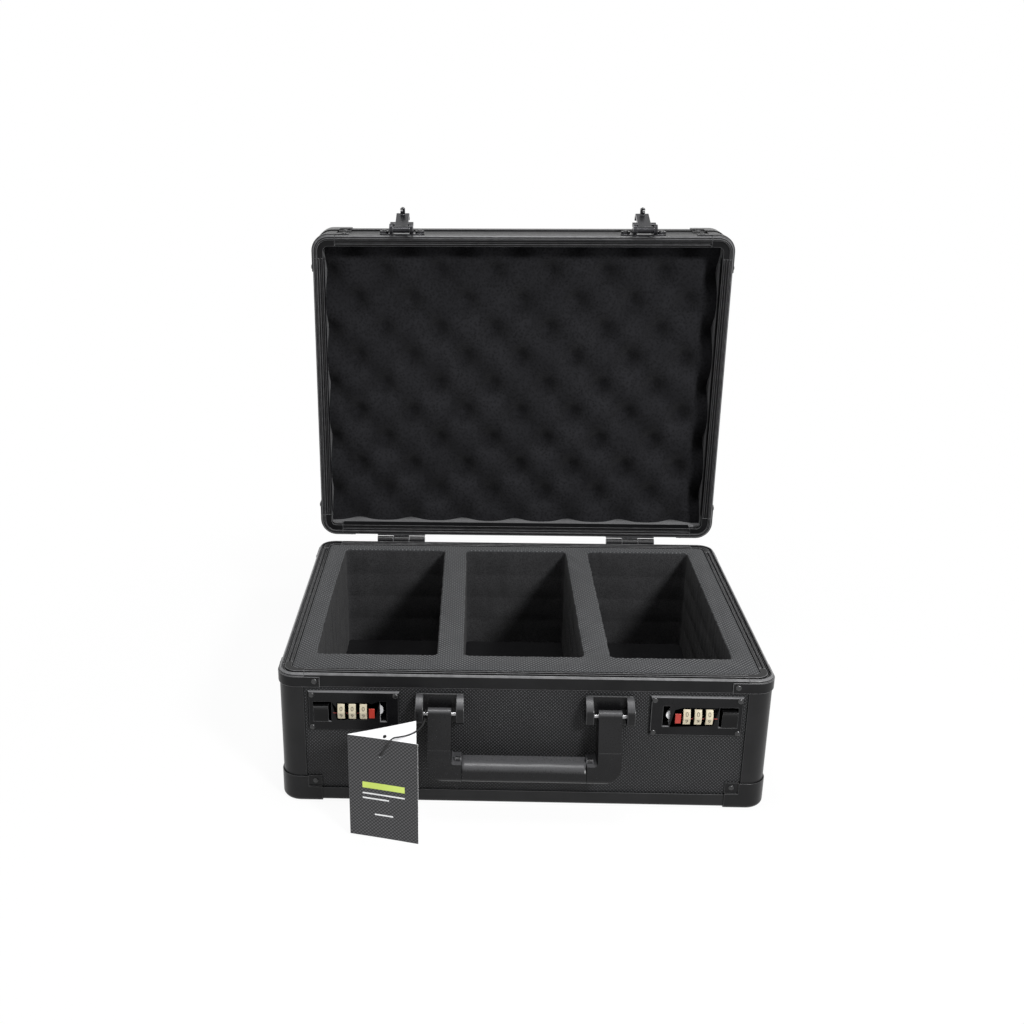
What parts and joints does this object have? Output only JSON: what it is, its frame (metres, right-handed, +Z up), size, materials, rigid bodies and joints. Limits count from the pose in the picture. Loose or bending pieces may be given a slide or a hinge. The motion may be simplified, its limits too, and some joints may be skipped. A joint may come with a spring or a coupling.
{
  "type": "graded card storage case",
  "caption": "Hard locking case with metal edges, foam rows for slabbed cards, hinged lid lined with egg-crate foam, combination locks, hasps and a carrying handle.",
  "frame": {"origin": "middle of the open case's footprint without the hang tag, on the surface it stands on", "axes": "+X to the viewer's right along the front, +Y from the handle to the hinges, +Z up"},
  "size_m": [0.3744, 0.4009, 0.4232],
  "materials": {
    "panel_skin": "embossed black sheet",
    "edge_metal": "satin black anodised extrusion",
    "cap_metal": "satin black stamped steel",
    "case_foam": "charcoal open cell foam",
    "lid_lining": "dark grey lining",
    "hinge_metal": "black plated steel",
    "pin_steel": "bright steel",
    "lock_metal": "satin graphite casting",
    "hasp_metal": "black nickel",
    "dial_ivory": "ivory moulding",
    "reset_red": "brick red moulding",
    "handle_plastic": "satin moulded plastic",
    "tag_card": "laminated printed card",
    "tag_string": "thin twisted string"
  },
  "bodies": {
    "base": {"base_back_panel": "panel_skin", "base_corner_caps": "cap_metal", "base_corner_posts": "edge_metal", "base_edge_trims": "edge_metal", "base_floor_panel": "panel_skin", "base_front_panel": "panel_skin", "base_rim_corners": "edge_metal", "base_rim_rails": "edge_metal", "base_rivets": "cap_metal", "base_side_panels": "panel_skin", "foam_insert": "case_foam", "foam_base_pad": "case_foam", "hinge_base_leaves": "hinge_metal", "hinge_pins": "pin_steel", "handle_brackets": "handle_plastic", "handle_pivot_pins": "pin_steel", "hang_tag": "tag_card", "tag_cord": "tag_string", "lock_plate_left": "lock_metal", "lock_plate_right": "lock_metal", "lock_housing_left": "lock_metal", "lock_housing_right": "lock_metal", "dial_axle_left": "pin_steel", "dial_axle_right": "pin_steel", "latch_spring_left": "pin_steel", "latch_spring_right": "pin_steel"},
    "lid": {"lid_back_panel": "panel_skin", "lid_corner_caps": "cap_metal", "lid_corner_posts": "edge_metal", "lid_edge_trims": "edge_metal", "lid_foam": "case_foam", "lid_front_panel": "panel_skin", "lid_liner": "lid_lining", "lid_rim_corners": "edge_metal", "lid_rim_rails": "edge_metal", "lid_rivets": "cap_metal", "lid_side_panels": "panel_skin", "lid_top_panel": "panel_skin", "hinge_lid_leaves": "hinge_metal", "hasp_bases": "hasp_metal", "hasp_pins": "pin_steel"},
    "handle": {"handle_arm_left": "handle_plastic", "handle_arm_right": "handle_plastic", "handle_grip": "handle_plastic", "handle_grip_pins": "pin_steel"},
    "hasp_left": {"hasp_arm_left": "hasp_metal"},
    "dial_1_left": {"lock_dial_1_left": "dial_ivory"},
    "dial_2_left": {"lock_dial_2_left": "dial_ivory"},
    "dial_3_left": {"lock_dial_3_left": "dial_ivory"},
    "thumb_left": {"thumb_slide_left": "lock_metal"},
    "bolt_left": {"latch_bolt_left": "pin_steel"},
    "reset_left": {"reset_tab_left": "reset_red"},
    "hasp_right": {"hasp_arm_right": "hasp_metal"},
    "dial_1_right": {"lock_dial_1_right": "dial_ivory"},
    "dial_2_right": {"lock_dial_2_right": "dial_ivory"},
    "dial_3_right": {"lock_dial_3_right": "dial_ivory"},
    "thumb_right": {"thumb_slide_right": "lock_metal"},
    "bolt_right": {"latch_bolt_right": "pin_steel"},
    "reset_right": {"reset_tab_right": "reset_red"}
  },
  "joints": [
    {"name": "lid_hinge", "type": "hinge", "parent": "base", "child": "lid", "pos_m": [0, 0.1246, 0.1103], "axis": [1, 0, 0], "range_deg": [0, 90]},
    {"name": "handle_swing", "type": "hinge", "parent": "base", "child": "handle", "pos_m": [0, -0.1674, 0.0823], "axis": [-1, 0, 0], "range_deg": [0, 95]},
    {"name": "hasp_swing_left", "type": "hinge", "parent": "lid", "child": "hasp_left", "pos_m": [-0.1057, 0.1206, 0.4008], "axis": [1, 0, 0], "range_deg": [0, 161]},
    {"name": "dial_turn_1_left", "type": "hinge", "parent": "base", "child": "dial_1_left", "pos_m": [0, -0.15382, 0.0793], "axis": [1, 0, 0], "continuous": true},
    {"name": "dial_turn_2_left", "type": "hinge", "parent": "base", "child": "dial_2_left", "pos_m": [0, -0.15382, 0.0793], "axis": [1, 0, 0], "continuous": true},
    {"name": "dial_turn_3_left", "type": "hinge", "parent": "base", "child": "dial_3_left", "pos_m": [0, -0.15382, 0.0793], "axis": [1, 0, 0], "continuous": true},
    {"name": "thumb_lift_left", "type": "slide", "parent": "base", "child": "thumb_left", "axis": [0, 0, 1], "range_m": [0, 0.0026], "stiffness_N_per_m": 150, "springref_m": -0.004},
    {"name": "bolt_draw_left", "type": "slide", "parent": "base", "child": "bolt_left", "axis": [-1, 0, 0], "range_m": [0, 0.0026], "deforming": ["latch_spring_left"]},
    {"name": "reset_press_left", "type": "slide", "parent": "base", "child": "reset_left", "axis": [0, 1, 0], "range_m": [0, 0.0008], "stiffness_N_per_m": 300, "springref_m": -0.002},
    {"name": "hasp_swing_right", "type": "hinge", "parent": "lid", "child": "hasp_right", "pos_m": [0.1057, 0.1206, 0.4008], "axis": [1, 0, 0], "range_deg": [0, 161]},
    {"name": "dial_turn_1_right", "type": "hinge", "parent": "base", "child": "dial_1_right", "pos_m": [0, -0.15382, 0.0793], "axis": [1, 0, 0], "continuous": true},
    {"name": "dial_turn_2_right", "type": "hinge", "parent": "base", "child": "dial_2_right", "pos_m": [0, -0.15382, 0.0793], "axis": [1, 0, 0], "continuous": true},
    {"name": "dial_turn_3_right", "type": "hinge", "parent": "base", "child": "dial_3_right", "pos_m": [0, -0.15382, 0.0793], "axis": [1, 0, 0], "continuous": true},
    {"name": "thumb_lift_right", "type": "slide", "parent": "base", "child": "thumb_right", "axis": [0, 0, 1], "range_m": [0, 0.0026], "stiffness_N_per_m": 150, "springref_m": -0.004},
    {"name": "bolt_draw_right", "type": "slide", "parent": "base", "child": "bolt_right", "axis": [1, 0, 0], "range_m": [0, 0.0026], "deforming": ["latch_spring_right"]},
    {"name": "reset_press_right", "type": "slide", "parent": "base", "child": "reset_right", "axis": [0, 1, 0], "range_m": [0, 0.0008], "stiffness_N_per_m": 300, "springref_m": -0.002}
  ],
  "couplings": [
    {"joint": "bolt_draw_left", "follows": "thumb_lift_left", "ratio": 1},
    {"joint": "bolt_draw_right", "follows": "thumb_lift_right", "ratio": 1}
  ]
}
